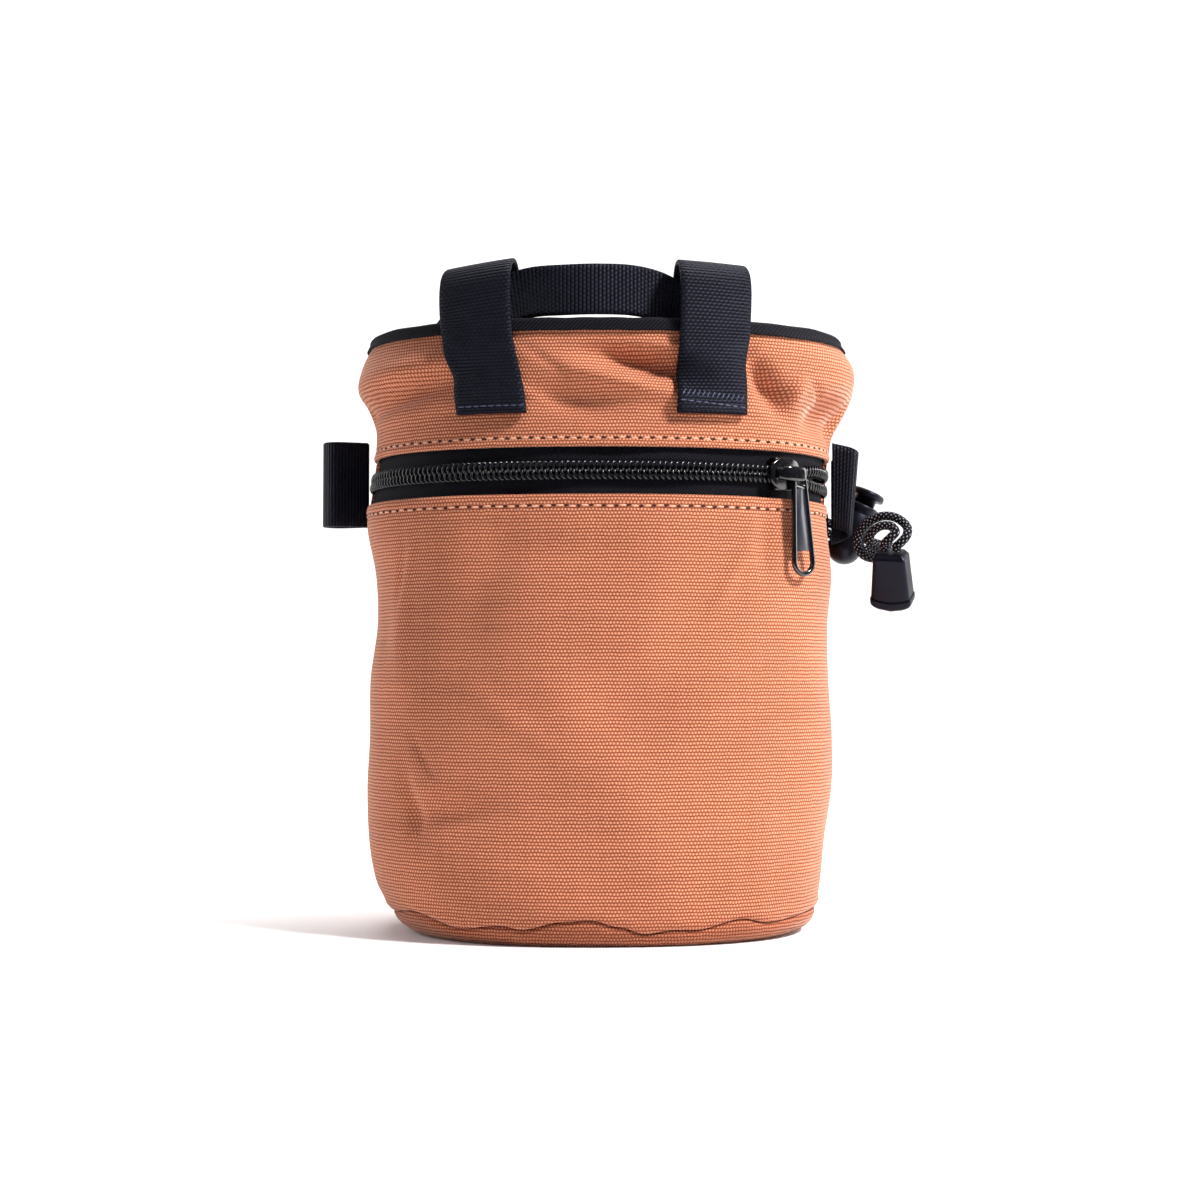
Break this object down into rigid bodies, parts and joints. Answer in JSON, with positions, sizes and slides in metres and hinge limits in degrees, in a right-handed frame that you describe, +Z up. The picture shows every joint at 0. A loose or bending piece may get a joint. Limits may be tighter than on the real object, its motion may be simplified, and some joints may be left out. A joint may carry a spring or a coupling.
{
  "type": "climbing chalk bag",
  "caption": "Canvas bucket bag with bound round mouth, zipped front pocket, webbing belt loops, carry strap, side loops and a draw cord with spring lock.",
  "frame": {"origin": "on the floor under the middle of the bag", "axes": "+Z up through the mouth, front with the zip toward -Y, draw cord toward +X"},
  "size_m": [0.1742, 0.0994, 0.1883],
  "materials": {
    "canvas": "plain woven cotton duck, dusty orange, matte",
    "base_canvas": "plain woven duck, darker rust, matte",
    "lining": "black brushed pile, matte",
    "binding": "black twill tape, matte",
    "webbing": "black ribbed webbing, slight sheen",
    "zip_tape": "black herringbone zip tape",
    "zip_coil": "black monofilament coil",
    "slider_metal": "gloss black enamel",
    "cord": "black braided cord",
    "plastic": "satin black moulded plastic"
  },
  "bodies": {
    "bag": {"pocket_panel": "canvas", "upper_front_panel": "canvas", "back_panel": "canvas", "base_panel": "base_canvas", "lining": "lining", "rim_binding": "binding", "zip_tape_upper": "zip_tape", "zip_tape_lower": "zip_tape", "zip_coil_upper": "zip_coil", "zip_coil_lower": "zip_coil", "zip_slider": "slider_metal", "belt_loop_left": "webbing", "belt_loop_right": "webbing", "carry_strap": "webbing", "side_loop_left": "webbing", "side_loop_right": "webbing", "cord_eyelet": "plastic", "draw_cord_a": "cord", "draw_cord_b": "cord", "cord_lock_barrel": "plastic", "cord_end": "plastic"},
    "pull": {"zip_pull": "slider_metal"},
    "button": {"cord_lock_button": "plastic"}
  },
  "joints": [
    {"name": "pull_swing", "type": "hinge", "parent": "bag", "child": "pull", "pos_m": [0.05346, -0.03086, 0.1285], "axis": [0.6006, -0.7996, 0], "range_deg": [-40, 80]},
    {"name": "lock_button_press", "type": "slide", "parent": "bag", "child": "button", "axis": [-0.4067, 0, -0.9135], "range_m": [0, 0.0022], "stiffness_N_per_m": 250, "springref_m": -0.002}
  ]
}
